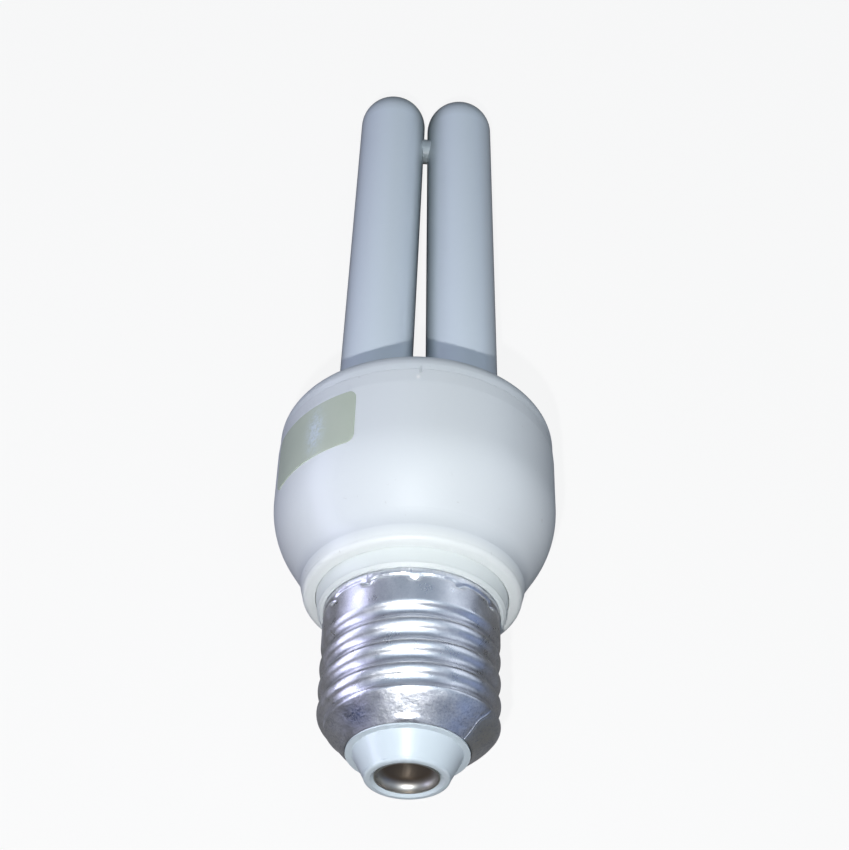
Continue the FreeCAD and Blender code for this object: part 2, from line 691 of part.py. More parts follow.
def rating_label():
    """The thin label on the side of the housing, with nothing printed on it."""
    skin = housing_blank(-LABEL_THICK).cut(housing_blank())
    near, far = HOUSING_BORE_R - MOULD_STEP, BELLY_R + HOUSING_WALL
    spread = LABEL_TO - LABEL_FROM
    inset = math.degrees(LABEL_CORNER / BELLY_R)
    low, high = LABEL_LOW + LABEL_CORNER, LABEL_HIGH - LABEL_CORNER
    wide = turned_polygon((near, low), (far, low), (far, high), (near, high), degrees=spread)
    tall = turned_polygon((near, LABEL_LOW), (far, LABEL_LOW), (far, LABEL_HIGH),
                          (near, LABEL_HIGH), degrees=spread - 2 * inset)
    pegs = [spin(rod((near, 0, height), (far, 0, height), LABEL_CORNER), turn)
            for turn in (inset, spread - inset) for height in (low, high)]
    whole = wide.multiFuse([spin(tall, inset)] + pegs)
    return skin.common(spin(whole, LABEL_FROM))


def rest_tilt():
    """How far the axis dips when the lamp lies on its shoulder and its two domes."""
    rise = SEAM_R - SHOULDER_ROUND
    run = DOME_Z - SHOULDER_Z
    return math.atan2(rise, run) - math.asin((TUBE_R - SHOULDER_ROUND) / math.hypot(rise, run))


def laid_down(shapes):
    """Lays every piece down, with the whole lamp centred over the origin on the ground."""
    turn = FreeCAD.Rotation(FreeCAD.Vector(1, 0, 0), -90.0 - math.degrees(rest_tilt()))
    whole = Part.makeCompound(list(shapes.values()))
    whole.Placement = FreeCAD.Placement(ORIGIN, turn)
    box = whole.optimalBoundingBox(False, False)
    shift = FreeCAD.Vector(-box.Center.x, -box.Center.y, -box.ZMin)
    return FreeCAD.Placement(shift, turn)


PIECES = [screw_shell, insulator, contact, neck_collar, lower_housing, tube_cover, rating_label,
          discharge_tube, tube_cement, tube_leads, circuit_board, wire_posts, filter_capacitor,
          choke_core, choke_bobbin, choke_winding, drive_ring, drive_windings, film_capacitors,
          transistors, fuse_resistor, diodes, resistors, contact_lead, shell_lead]


def main():
    """Builds every piece, lays the lamp down and writes one file for each piece."""
    os.makedirs("parts", exist_ok=True)
    shapes = {piece.__name__: piece() for piece in PIECES}
    place = laid_down(shapes)
    for name, shape in shapes.items():
        shape.Placement = place.multiply(shape.Placement)
        shape.exportStep("parts/" + name + ".step")
        print(name, len(shape.Solids), round(shape.Volume, 1), shape.isValid())
    print("laid down with the axis dipping", round(math.degrees(rest_tilt()), 2), place)


main()
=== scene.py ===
# %% [markdown]
# # A compact fluorescent lamp, lying as it came to rest
#
# The packed CAD model gives every piece its shape and its place. This script adds what plain
# solids can't carry: the screw shell's fine thread, the finish of each surface, and the light of
# one small flash held beside the lens. It reads nothing but the frame, so each run gives the same
# lamp.

# %% Load the frame
import json
import math
from types import SimpleNamespace

import bmesh
import bpy
from mathutils import Matrix, Vector


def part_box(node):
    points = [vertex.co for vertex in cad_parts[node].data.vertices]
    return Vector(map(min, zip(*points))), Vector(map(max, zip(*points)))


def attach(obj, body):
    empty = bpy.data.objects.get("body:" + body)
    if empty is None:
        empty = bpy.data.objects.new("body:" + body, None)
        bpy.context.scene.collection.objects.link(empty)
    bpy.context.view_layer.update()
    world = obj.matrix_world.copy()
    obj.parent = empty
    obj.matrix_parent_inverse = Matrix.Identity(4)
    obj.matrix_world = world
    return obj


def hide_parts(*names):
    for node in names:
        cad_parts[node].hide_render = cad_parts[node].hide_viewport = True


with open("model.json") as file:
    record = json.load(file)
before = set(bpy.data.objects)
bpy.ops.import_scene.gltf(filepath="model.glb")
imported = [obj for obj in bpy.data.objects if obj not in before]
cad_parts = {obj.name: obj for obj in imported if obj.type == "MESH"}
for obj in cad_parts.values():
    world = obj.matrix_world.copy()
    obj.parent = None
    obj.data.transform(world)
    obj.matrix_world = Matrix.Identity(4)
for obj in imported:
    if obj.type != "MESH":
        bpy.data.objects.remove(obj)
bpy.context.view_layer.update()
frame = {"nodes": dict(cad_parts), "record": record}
print("nodes in the frame:", len(frame["nodes"]))

# %% [markdown]
# ## The lamp's own axis
#
# The lamp lies tilted, but its surfaces are easiest to describe on its own axis: by a height in
# millimetres from the tip of the base and a turn in degrees about the axis. The axis could be
# typed in as numbers, but they would be wrong as soon as the CAD changed, so it is measured. The
# circuit board and the contact are round discs, so the middles of their boxes are on the axis,
# and the insulator holds the point that is furthest down it.

# %% Measure the axis
MM = 0.001
FULL_TURN = 360.0
QUARTER_TURN = 90.0


def middle(name):
    """The middle of a CAD node's box."""
    low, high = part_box(name)
    return (low + high) / 2


AXIS = (middle("circuit_board") - middle("contact")).normalized()
TIP = min(v.co.dot(AXIS) for v in frame["nodes"]["insulator"].data.vertices)
ORIGIN = middle("contact") + AXIS * (TIP - middle("contact").dot(AXIS))
DIP = math.degrees(math.asin(-AXIS.z))
print("the axis dips by", round(DIP, 2), "degrees")
print("the tip is at", tuple(round(c, 4) for c in ORIGIN))

# %% [markdown]
# A piece that is modelled upright is laid down by one matrix. Its first three columns are the
# directions that the lamp's own X, Y and Z take in the frame, and its last one is the tip's place.

# %% The matrix that lays the lamp down
FRONT = AXIS.cross(Vector((1, 0, 0))).normalized()
LAMP = Matrix((
    (1, FRONT.x, AXIS.x, ORIGIN.x),
    (0, FRONT.y, AXIS.y, ORIGIN.y),
    (0, FRONT.z, AXIS.z, ORIGIN.z),
    (0, 0, 0, 1)))
print("axis and front meet at", round(math.degrees(AXIS.angle(FRONT)), 3), "degrees")

# %% [markdown]
# ## Sums written as sums
#
# Node trees do arithmetic with one node for each step, which is hard to read as links. A small
# class lets a formula be written as a formula, and each operator adds the node that does it. The
# same class serves the shader trees and the geometry tree, because both use the same maths node.
# The two curves that this lamp needs most, a hill and a ramp, are its own methods. The inputs of
# its nodes are filled by join, the helper in the next cell.

# %% A number that flows through a node tree


class Value:
    """A number that flows through a node tree."""

    def __init__(self, tree, socket):
        self.tree, self.socket = tree, socket

    def step(self, operation, *others, clamp=False):
        """One maths node, with this value as its first input."""
        made = self.tree.nodes.new("ShaderNodeMath")
        made.operation, made.use_clamp = operation, clamp
        for slot, item in zip(made.inputs, (self, *others)):
            join(self.tree, item, slot)
        return Value(self.tree, made.outputs[0])

    def __add__(self, other):
        return self.step("ADD", other)

    def __sub__(self, other):
        return self.step("SUBTRACT", other)

    def __mul__(self, other):
        return self.step("MULTIPLY", other)

    def __truediv__(self, other):
        return self.step("DIVIDE", other)

    def __rsub__(self, other):
        return (self * -1.0) + other

    __radd__, __rmul__ = __add__, __mul__

    def clamped(self):
        """The same number, held between nothing and one."""
        return self.step("ADD", 0.0, clamp=True)

    def hill(self, centre, spread):
        """One at the centre, falling smoothly to nothing some spreads away."""
        away = (self - centre) / spread
        return (away * away * -1.0).step("EXPONENT")

    def ramp(self, low, high):
        """Nothing below low, one above high, straight between them."""
        return ((self - low) / (high - low)).clamped()


print("a Value can", [name for name in vars(Value) if not name.startswith("__")])

# %% [markdown]
# Every other node comes from one helper. It takes the node's type, the values or links of its
# inputs, and its settings. A link and a plain number are told apart in one place.

# %% Any other node


def join(tree, value, slot):
    """Links a value or a socket to an input, or sets the input to a plain number."""
    if isinstance(value, Value):
        value = value.socket
    if isinstance(value, bpy.types.NodeSocket):
        tree.links.new(value, slot)
    else:
        slot.default_value = value


def node(tree, kind, inputs=(), **settings):
    """A node with its settings made and its inputs filled or linked."""
    made = tree.nodes.new(kind)
    for name, value in settings.items():
        setattr(made, name, value)
    for name, value in dict(inputs).items():
        join(tree, value, made.inputs[name])
    return made


print("nodes are made by", node.__name__, "and linked by", join.__name__)

# %% [markdown]
# ## The screw shell by a rule
#
# The shell is drawn from thin sheet: a cone-shaped skirt at the bottom, a rolled thread, and a
# plain band at the top that is crimped onto the plastic collar. A bump map would leave the
# thread's outline straight. A profile swept along a helix would have to be joined to the skirt
# and the band. So the shell follows a rule: at each height and each turn about the axis the sheet
# has one radius. A flat grid is rolled up by it. Across the grid is the turn. Up the grid is the
# way along the sheet, first up the outside and then back down the inside.
#
# These are its sizes in millimetres. All but the crimp's are the CAD shell's own. The standard's
# thread has 7 turns to the inch.

# %% The shell's sizes
SHELL = {
    "Pitch": 25.4 / 7,
    "Crest Radius": 13.1,
    "Depth": 0.85,
    "Thread Top": 21.5,
    "Thread Bottom": 7.4,
    "Fade": 0.9,
    "Mouth Radius": 8.9,
    "Bottom": 4.15,
    "Top": 26.7,
    "Slope": 1.02,
    "Bend": 0.35,
    "Sheet": 0.45,
    "Crimp Height": 25.35,
    "Crimp Depth": 0.22,
}
print("the thread rises", round(SHELL["Pitch"], 3), "mm a turn")

# %% [markdown]
# ### Skirt and cylinder
#
# The skirt is a straight cone and the part above it a cylinder. Where two straight lines meet in
# a soft corner, a hyperbola that has both as its arms does it in one formula. The bend says how
# soft the corner is.

# %% The outside without its thread


def plain_outside(size, height):
    """The cone of the skirt, and the outside that bends from it into the cylinder."""
    cone = size["Mouth Radius"] + size["Slope"] * (height - size["Bottom"])
    gap = cone - size["Crest Radius"]
    bend = (gap * gap + size["Bend"] * size["Bend"]).step("SQRT")
    return cone, (cone + size["Crest Radius"] - bend) * 0.5


print("the skirt widens by", round(SHELL["Crest Radius"] - SHELL["Mouth Radius"], 1), "mm")

# %% [markdown]
# ### The thread
#
# A right-hand thread climbs by one pitch in a turn. So the height above the crest below a point
# is its height less the climb, modulo the pitch. The profile is two arcs of one radius, over the
# crest and through the root, which meet without a corner a quarter of the pitch from each. The
# groove fades out at both ends, as it does on rolled sheet.

# %% The thread's groove


def past_crest(size, height, turn):
    """How far a point is above the crest that runs below it."""
    rise = size["Pitch"] * (turn + QUARTER_TURN) / FULL_TURN
    return (height - size["Thread Top"] - rise).step("FLOORED_MODULO", size["Pitch"])


def thread_groove(size, height, turn):
    """How deep the thread lies below its crests."""
    above_crest = past_crest(size, height, turn)
    offset = above_crest.step("MINIMUM", size["Pitch"] - above_crest)
    quarter = size["Pitch"] * 0.25
    half_depth = size["Depth"] * 0.5
    arc = (quarter * quarter + half_depth * half_depth) / size["Depth"]
    on_crest = arc - (arc * arc - offset * offset).step("MAXIMUM", 0.0).step("SQRT")
    from_root = size["Pitch"] * 0.5 - offset
    on_root = size["Depth"] - arc + (arc * arc - from_root * from_root).step(
        "MAXIMUM", 0.0).step("SQRT")
    is_crest = offset.step("LESS_THAN", quarter)
    groove = is_crest * on_crest + (1.0 - is_crest) * on_root
    room = (size["Thread Top"] - height).step("MINIMUM", height - size["Thread Bottom"])
    return groove * (room / size["Fade"]).clamped()


print("turns of thread:",
      round((SHELL["Thread Top"] - SHELL["Thread Bottom"]) / SHELL["Pitch"], 2))

# %% [markdown]
# ### The dent in the skirt
#
# This lamp was knocked, and its skirt is out of round. A cosine of the turn moves the whole ring
# to one side without tearing it, and a hill in the height leaves the rest of the shell round.

# %% The dent
DENT = {"turn": -15.0, "height": 6.9, "depth": 0.4, "spread": 1.5}


def skirt_dent(height, turn):
    """How far the dent moves the skirt outwards."""
    side = (turn - DENT["turn"]).step("RADIANS").step("COSINE")
    return side * height.hill(DENT["height"], DENT["spread"]) * DENT["depth"]


print("the dent moves the skirt by", DENT["depth"], "mm")

# %% [markdown]
# ### The crimps
#
# A tool with pointed teeth locks the band to the collar. It leaves a shallow line all round,
# which dips at each tooth, and a small pocket under each dip. The teeth are all alike: the turn
# is taken modulo the spacing, so one formula makes all of them.

# %% The line and the pockets
CRIMPS = 12
FIRST_CRIMP = -92.6
TOOTH = {"spread": 3.2, "dip": 0.6}
LINE_SPREAD = 0.22
POCKET = {"height": 24.75, "spread": 0.34, "depth": 0.34}


def crimp_marks(size, height, turn):
    """The depths of the crimped line and of the pockets below it."""
    spacing = FULL_TURN / CRIMPS
    past_tooth = (turn - FIRST_CRIMP + spacing / 2).step("FLOORED_MODULO", spacing)
    near = (past_tooth - spacing / 2).hill(0.0, TOOTH["spread"])
    line = size["Crimp Height"] - near * TOOTH["dip"]
    crimped = (height - line).hill(0.0, LINE_SPREAD) * size["Crimp Depth"]
    return crimped, near * height.hill(POCKET["height"], POCKET["spread"]) * POCKET["depth"]


print("one tooth every", FULL_TURN / CRIMPS, "degrees")

# %% [markdown]
# ### From the grid to the sheet
#
# The grid is one unit wide and one high. Most of its height is spent on the outside, where the
# detail is, and the rest runs back down the plain inside.

# %% Turn and height of a point of the grid
OUTSIDE_SHARE = 0.86


def along_sheet(tree, size):
    """The turn, the height and whether it is the inside, at each point of the grid."""
    position = tree.nodes.new("GeometryNodeInputPosition").outputs[0]
    place = node(tree, "ShaderNodeSeparateXYZ", {"Vector": position})
    turn = (Value(tree, place.outputs["X"]) + 0.5) * FULL_TURN
    along = Value(tree, place.outputs["Y"]) + 0.5
    up = (along / OUTSIDE_SHARE).step("MINIMUM", 1.0)
    down = (along - OUTSIDE_SHARE).step("MAXIMUM", 0.0) / (1.0 - OUTSIDE_SHARE)
    height = size["Bottom"] + (size["Top"] - size["Bottom"]) * (up - down)
    return turn, height, down.step("GREATER_THAN", 0.0)


print("share of the grid on the outside:", OUTSIDE_SHARE)

# %% [markdown]
# ### The radius of the sheet
#
# The outside is the plain one, moved by the dent and cut by the thread and the crimps. The inside
# follows the skirt and then runs straight up, one sheet's thickness inside the roots. At the
# bottom edge, which sits on the insulator's ring, the two aren't joined.

# %% All the rules in one radius


def sheet_radius(size, height, turn, is_inside):
    """The radius of the sheet, outside and inside."""
    cone, outside = plain_outside(size, height)
    outside = outside + skirt_dent(height, turn) - thread_groove(size, height, turn)
    for mark in crimp_marks(size, height, turn):
        outside = outside - mark
    bore = size["Crest Radius"] - size["Depth"] - size["Sheet"]
    inside = (cone - size["Sheet"]).step("MINIMUM", bore)
    return outside * (1.0 - is_inside) + inside * is_inside


print("the bore's radius is",
      round(SHELL["Crest Radius"] - SHELL["Depth"] - SHELL["Sheet"], 2), "mm")

# %% [markdown]
# ### Rolling up the grid
#
# The rule gives a radius, a turn and a height, and sine and cosine make a point of them. Every
# size is a named input of the tree, so the same tree could make another base.

# %% The tree's inputs and its rolled grid


def name_sockets(tree):
    """Gives the shell's tree its named inputs and its output."""
    for name, value in SHELL.items():
        made = tree.interface.new_socket(name, in_out="INPUT", socket_type="NodeSocketFloat")
        made.default_value = value
    for name, kind in (("Columns", "Int"), ("Rows", "Int"), ("Finish", "Material")):
        tree.interface.new_socket(name, in_out="INPUT", socket_type="NodeSocket" + kind)
    tree.interface.new_socket("Shell", in_out="OUTPUT", socket_type="NodeSocketGeometry")


def rolled_grid(tree, entry):
    """A flat grid with its points moved to where the rule puts them."""
    size = {name: Value(tree, entry.outputs[name]) for name in SHELL}
    grid = node(tree, "GeometryNodeMeshGrid", {
        "Size X": 1.0, "Size Y": 1.0, "Vertices X": entry.outputs["Columns"],
        "Vertices Y": entry.outputs["Rows"]})
    turn, height, is_inside = along_sheet(tree, size)
    radius = sheet_radius(size, height, turn, is_inside)
    angle = turn.step("RADIANS")
    point = node(tree, "ShaderNodeCombineXYZ", {
        "X": radius * angle.step("COSINE") * MM, "Y": radius * angle.step("SINE") * MM,
        "Z": height * MM})
    return node(tree, "GeometryNodeSetPosition", {
        "Geometry": grid.outputs["Mesh"], "Position": point.outputs[0]})


print("sizes the tree takes:", len(SHELL))

# %% [markdown]
# The first and the last column of the rolled grid lie on each other, and Merge by Distance closes
# that seam. The tree then ends as all such trees do, in Realize Instances and Set Material.

# %% The geometry tree


def shell_tree():
    """The geometry tree that rolls a grid up into the threaded shell."""
    tree = bpy.data.node_groups.new("threaded shell", "GeometryNodeTree")
    name_sockets(tree)
    entry = tree.nodes.new("NodeGroupInput")
    moved = rolled_grid(tree, entry)
    closed = node(tree, "GeometryNodeMergeByDistance", {
        "Geometry": moved.outputs[0], "Distance": 0.001 * MM})
    smooth = node(tree, "GeometryNodeSetShadeSmooth", {"Geometry": closed.outputs[0]})
    real = node(tree, "GeometryNodeRealizeInstances", {"Geometry": smooth.outputs[0]})
    painted = node(tree, "GeometryNodeSetMaterial", {
        "Geometry": real.outputs[0], "Material": entry.outputs["Finish"]})
    leave = tree.nodes.new("NodeGroupOutput")
    join(tree, painted.outputs[0], leave.inputs["Shell"])
    return tree


THREADED_SHELL = shell_tree()
print("nodes in the shell's tree:", len(THREADED_SHELL.nodes))

# %% [markdown]
# ### From a tree to a plain mesh
#
# A modifier carries the tree. Its inputs are set by their socket's identifier, because two
# sockets may share a name but never an identifier. The evaluated result is made a mesh of its
# own, which has no modifier left. Rolling a grid up can turn its faces inwards, and bmesh turns
# them out.

# %% Two helpers for the mesh


def made_by_rule(name, tree, inputs):
    """A mesh made by a geometry tree, with its inputs given by name."""
    carrier = bpy.data.objects.new(name + " rule", bpy.data.meshes.new(name))
    bpy.context.collection.objects.link(carrier)
    modifier = carrier.modifiers.new("rule", "NODES")
    modifier.node_group = tree
    for item in tree.interface.items_tree:
        if item.in_out == "INPUT" and item.name in inputs:
            modifier[item.identifier] = inputs[item.name]
    bpy.context.view_layer.update()
    result = carrier.evaluated_get(bpy.context.evaluated_depsgraph_get())
    mesh = bpy.data.meshes.new_from_object(result)
    bpy.data.objects.remove(carrier)
    return mesh


def outwards(mesh):
    """Turns a mesh's faces outwards."""
    cells = bmesh.new()
    cells.from_mesh(mesh)
    bmesh.ops.recalc_face_normals(cells, faces=cells.faces)
    cells.to_mesh(mesh)
    cells.free()


print("helpers for the mesh:", made_by_rule.__name__, "and", outwards.__name__)

# %% [markdown]
# ## Surfaces
#
# Dirt, scuffs and rubbed places sit at a height and a turn of the lamp. They could be drawn on an
# unwrapped picture, but every piece would need its own. Instead each finish works out where on
# the lamp the shaded point is, from its Object coordinates, so one set of numbers places a mark
# on any piece and no UV map is needed.

# %% Where a point is on the lamp


def lamp_place(tree):
    """The shaded point as a vector, and its side, height and turn on the lamp."""
    here = node(tree, "ShaderNodeTexCoord").outputs["Object"]
    moved = node(tree, "ShaderNodeVectorMath", {0: here, 1: ORIGIN}, operation="SUBTRACT")
    turned = node(tree, "ShaderNodeVectorRotate", {
        "Vector": moved.outputs[0], "Angle": math.radians(QUARTER_TURN + DIP)},
        rotation_type="X_AXIS")
    scaled = node(tree, "ShaderNodeVectorMath", {0: turned.outputs[0], "Scale": 1 / MM},
                  operation="SCALE")
    parts = node(tree, "ShaderNodeSeparateXYZ", {"Vector": scaled.outputs[0]})
    x, y, height = (Value(tree, parts.outputs[name]) for name in "XYZ")
    return SimpleNamespace(vector=scaled.outputs[0], x=x, height=height,
                           turn=y.step("ARCTAN2", x).step("DEGREES"))


print("points are turned upright by", round(QUARTER_TURN + DIP, 2), "degrees")

# %% [markdown]
# ### Brushes
#
# A few helpers keep the finishes short: noise for what is irregular, a soft spot at a place on
# the lamp, a mix of two colours, a relief, and a plain surface to begin with.

# %% Noise, spots and colours


def noise(tree, vector, scale, detail=3.0, roughness=0.5, stretch=(1, 1, 1)):
    """Fine irregular variation between nothing and one."""
    pulled = node(tree, "ShaderNodeVectorMath", {0: vector, 1: stretch}, operation="MULTIPLY")
    made = node(tree, "ShaderNodeTexNoise", {
        "Vector": pulled.outputs[0], "Scale": scale, "Detail": detail, "Roughness": roughness})
    return Value(tree, made.outputs["Fac"])


def spot(place, turn, width, height, length):
    """A soft spot: its turn and how wide it spreads, its height and how far up and down."""
    return place.turn.hill(turn, width) * place.height.hill(height, length)


def mixed(tree, share, first, second):
    """A colour between two colours."""
    made = node(tree, "ShaderNodeMix", data_type="RGBA")
    for slot, value in zip((0, 6, 7), (share, first, second)):
        join(tree, (*value, 1.0) if isinstance(value, tuple) else value, made.inputs[slot])
    return made.outputs[2]


print("brushes:", noise.__name__, spot.__name__, mixed.__name__)

# %% [markdown]
# Every finish is one Principled BSDF. What is the same all over is set on its sockets, and only
# what changes from place to place is linked. A relief is a height in millimetres, so it can be
# compared with the real thing.

# %% A plain surface and a relief


def surface(name, colour, rough=0.5, metal=0.0, coat=0.0):
    """A material with one plain surface. Returns it, its tree and its surface node."""
    made = bpy.data.materials.new(name)
    made.use_nodes = True
    shader = made.node_tree.nodes["Principled BSDF"]
    shader.inputs["Base Color"].default_value = (*colour, 1.0)
    shader.inputs["Roughness"].default_value = rough
    shader.inputs["Metallic"].default_value = metal
    shader.inputs["Coat Weight"].default_value = coat
    made.diffuse_color = (*colour, 1.0)
    return made, made.node_tree, shader


def relief(tree, shader, height):
    """Lets a height in millimetres shade the surface as relief."""
    bump = node(tree, "ShaderNodeBump", {"Height": height, "Distance": MM, "Strength": 1.0})
    join(tree, bump.outputs[0], shader.inputs["Normal"])


print("finishes are made by", surface.__name__, "and", relief.__name__)

# %% [markdown]
# ### The metal of the screw shell: its grains
#
# The shell is thin, silvery metal that lampholders have scuffed. Five kinds of noise stand for
# what is irregular in it: fine specks, broad scuffs, dull patches, scratches that run along the
# thread, and the wrinkles at the top, where the crimping tool pulled the sheet in.

# %% The metal's grains: scale, detail, roughness and stretch
GRAINS = {
    "specks": (3.4, 5.0, 0.7),
    "scuffs": (0.45, 4.0, 0.6),
    "patches": (0.28, 3.0, 0.65),
    "scratches": (1.2, 3.0, 0.6, (1, 1, 4)),
    "wrinkles": (0.9, 2.0, 0.5, (1, 1, 0.6)),
}
print("grains:", list(GRAINS))

# %% [markdown]
# ### The metal of the screw shell: where it is worn and shaded
#
# Dust sits in specks all over, most of it on the skirt. Painted shade darkens the sides that turn
# away from the front and the roots of the thread. A dark stain is low on the left. A crease runs
# down the skirt on the right, and beyond it the metal stands a little higher and is yellower. Each
# place is a number between nothing and one, so that colour, roughness and relief can all use it.

# %% The metal's worn places
SKIRT_ENDS = (7.0, 8.2)
THREAD_STARTS = (7.4, 8.2)
THREAD_ENDS = (20.6, 21.4)
WRINKLES_START = (25.2, 25.7)
ROOT_SPREAD = 0.3
UNSHADED_FRONT = (-85.0, 45.0)
CREASE_TURN = -36.0
CREASE_SPREAD = 0.9
CREASE_FADES = (-14.0, 10.0)
STAIN = (-137.5, 19.0, 5.8, 1.6)
SWELL = (-94.0, 10.0, 4.45, 0.35)


def worn_places(tree, place):
    """The grains, the worn places and the painted shade of the metal, by name."""
    height, turn = place.height, place.turn
    worn = {name: noise(tree, place.vector, *grain) for name, grain in GRAINS.items()}
    specks = worn["specks"]
    skirt = 1.0 - height.ramp(*SKIRT_ENDS)
    threaded = height.ramp(*THREAD_STARTS) * (1.0 - height.ramp(*THREAD_ENDS))
    root = past_crest(SHELL, height, turn).hill(SHELL["Pitch"] / 2, ROOT_SPREAD) * threaded
    # Painted shade: the sides that turn away from the front are darkened, on top of the dust.
    side_shade = 1.0 - turn.hill(*UNSHADED_FRONT)
    dust_and_side_shade = (1.0 - specks.ramp(0.3, 0.55)) * (0.12 + skirt * 0.3 + side_shade * 0.22)
    dull = worn["patches"].ramp(0.42, 0.62) * (0.12 + skirt * 0.14)
    # Painted shade: the roots of the thread are darkened.
    root_shade = root * (0.2 + worn["scuffs"] * 0.16)
    crooked = turn + height.hill(6.2, 0.9) * 3.0 - height * 0.6
    beyond = crooked.ramp(CREASE_TURN - 0.5, CREASE_TURN + 2.0)
    worn.update({
        "skirt": skirt,
        "dirt and shade": (dust_and_side_shade + dull + root_shade).clamped(),
        "stain": spot(place, *STAIN) * specks.ramp(0.3, 0.55),
        "crease": crooked.hill(CREASE_TURN, CREASE_SPREAD) * skirt,
        "beyond": beyond * (1.0 - turn.ramp(*CREASE_FADES)) * skirt,
        "swell": spot(place, *SWELL),
        "wrinkles": worn["wrinkles"] * height.ramp(*WRINKLES_START),
        "skirt scuffs": worn["scuffs"] * skirt,
    })
    return worn


print("the crease is at", CREASE_TURN, "degrees and the stain at", STAIN[0])

# %% [markdown]
# ### The metal of the screw shell: how it is painted
#
# Colour alone would look printed on. So the same places also change the roughness, which spreads
# the highlights, and the relief, which bends them.

# %% The shell's finish
CLEAN_METAL = (0.88, 0.88, 0.9)
# The dark colour below serves real dust and dull patches, and the painted shade of the sides and
# roots.
DIRT_AND_SHADE_METAL = (0.24, 0.26, 0.34)
RUBBED_METAL = (0.56, 0.56, 0.48)
STAINED_METAL = (0.08, 0.105, 0.17)
METAL_RELIEF_MM = {"specks": 0.015, "scratches": 0.012, "crease": 0.1, "beyond": 0.12,
                   "swell": 0.2, "wrinkles": 0.2, "skirt scuffs": 0.14}


def shell_metal():
    """The worn, silvery metal of the screw shell, with painted shade on its sides and roots."""
    made, tree, shader = surface("shell metal", (0.74, 0.75, 0.8), 0.27, 1.0)
    worn = worn_places(tree, lamp_place(tree))
    specks = worn["specks"]
    dirt_and_painted_light = mixed(tree, worn["dirt and shade"], CLEAN_METAL, DIRT_AND_SHADE_METAL)
    rubbed = mixed(tree, worn["beyond"] * specks.ramp(0.25, 0.6) * 0.6, dirt_and_painted_light, RUBBED_METAL)
    stained = mixed(tree, worn["stain"] * 0.95, rubbed, STAINED_METAL)
    join(tree, stained, shader.inputs["Base Color"])
    join(tree, 0.24 + worn["scuffs"].ramp(0.35, 0.75) * 0.14 + specks.ramp(0.5, 0.7) * 0.08
         + worn["patches"].ramp(0.4, 0.65) * 0.1 + worn["skirt"] * 0.04,
         shader.inputs["Roughness"])
    relief(tree, shader, sum(worn[name] * deep for name, deep in METAL_RELIEF_MM.items()))
    return made


FINISHES = {"base_metal": shell_metal()}
print("nodes in the metal's finish:", len(FINISHES["base_metal"].node_tree.nodes))

# %% [markdown]
# ### The white housing
#
# Lower housing and tube cover are moulded in glossy white plastic. Two ramps in the height paint
# the cover a little greyer, as painted shade, and the lip at the bottom whiter, as a painted
# highlight. A white spot below the seam is a painted highlight on the mould's mark, and a small
# nick above it gets painted shade: a spot each.

# %% The housing's finish
LIP_ENDS = (29.8, 31.4)
SEAM_HEIGHT = 56.4
MOULD_MARK_HIGHLIGHT = (-93.8, 0.7, 54.75, 0.4)
NICK = (-92.8, 0.5, 56.8, 0.4)
BODY_WHITE = (0.8, 0.835, 0.86)
COVER_PAINTED_SHADE = (0.73, 0.77, 0.8)
LIP_PAINTED_HIGHLIGHT = (0.93, 0.96, 0.95)


def housing_plastic():
    """White plastic: a greyer cover as painted shade, a whiter lip and mould mark as painted
    highlights, painted shade in a nick and a few dark specks of soil.
    """
    made, tree, shader = surface("white housing", (0.8, 0.83, 0.86), 0.4, 0.0, 0.1)
    place = lamp_place(tree)
    specks = noise(tree, place.vector, 0.9, 2.0)
    # Painted highlight: the lip at the bottom is whiter.
    lip = 1.0 - place.height.ramp(*LIP_ENDS)
    # Painted shade: the cover above the seam is greyer.
    cover = place.height.ramp(SEAM_HEIGHT, SEAM_HEIGHT + 0.1)
    nick = spot(place, *NICK)
    clean_with_painted_light = mixed(tree, lip, mixed(tree, cover, BODY_WHITE, COVER_PAINTED_SHADE), LIP_PAINTED_HIGHLIGHT)
    # Painted shade: the nick above the seam is greyer.
    nick_shaded = mixed(tree, nick * 0.5, clean_with_painted_light, (0.4, 0.42, 0.45))
    # Painted highlight: a pure white spot on the mould's mark.
    highlighted = mixed(tree, spot(place, *MOULD_MARK_HIGHLIGHT), nick_shaded, (1.0, 1.0, 1.0))
    dirt_and_painted_light = mixed(tree, specks.ramp(0.74, 0.8) * 0.25, highlighted, (0.45, 0.44, 0.42))
    join(tree, dirt_and_painted_light, shader.inputs["Base Color"])
    relief(tree, shader, specks * 0.01 - nick * 0.05)
    return made


FINISHES["housing_white"] = housing_plastic()
print("the cover's white starts at", SEAM_HEIGHT, "mm")

# %% [markdown]
# ### The label
#
# The label is a plain grey-green skin with a whitish patch, where it is rubbed. Noise breaks the
# patch up, so that it looks worn and not sprayed.

# %% The label's finish
RUBBED_SPOT = (-137.6, 4.0, 48.6, 3.4)
LABEL_GREENS = ((0.5, 0.56, 0.46), (0.58, 0.63, 0.53))
RUBBED_WHITE = (0.68, 0.76, 0.8)


def label_paper():
    """The grey-green label with a whitish rubbed patch."""
    made, tree, shader = surface("label", (0.4, 0.45, 0.38), 0.5)
    place = lamp_place(tree)
    fine = noise(tree, place.vector, 1.4, 5.0, 0.7)
    rubbed = (spot(place, *RUBBED_SPOT) * 1.5 * fine.ramp(0.3, 0.62)).clamped()
    green = mixed(tree, noise(tree, place.vector, 0.22, 2.0), *LABEL_GREENS)
    join(tree, mixed(tree, rubbed, green, RUBBED_WHITE), shader.inputs["Base Color"])
    relief(tree, shader, fine * rubbed * 0.08)
    return made


FINISHES["label_face"] = label_paper()
print("the label is rubbed at", RUBBED_SPOT[2], "mm")

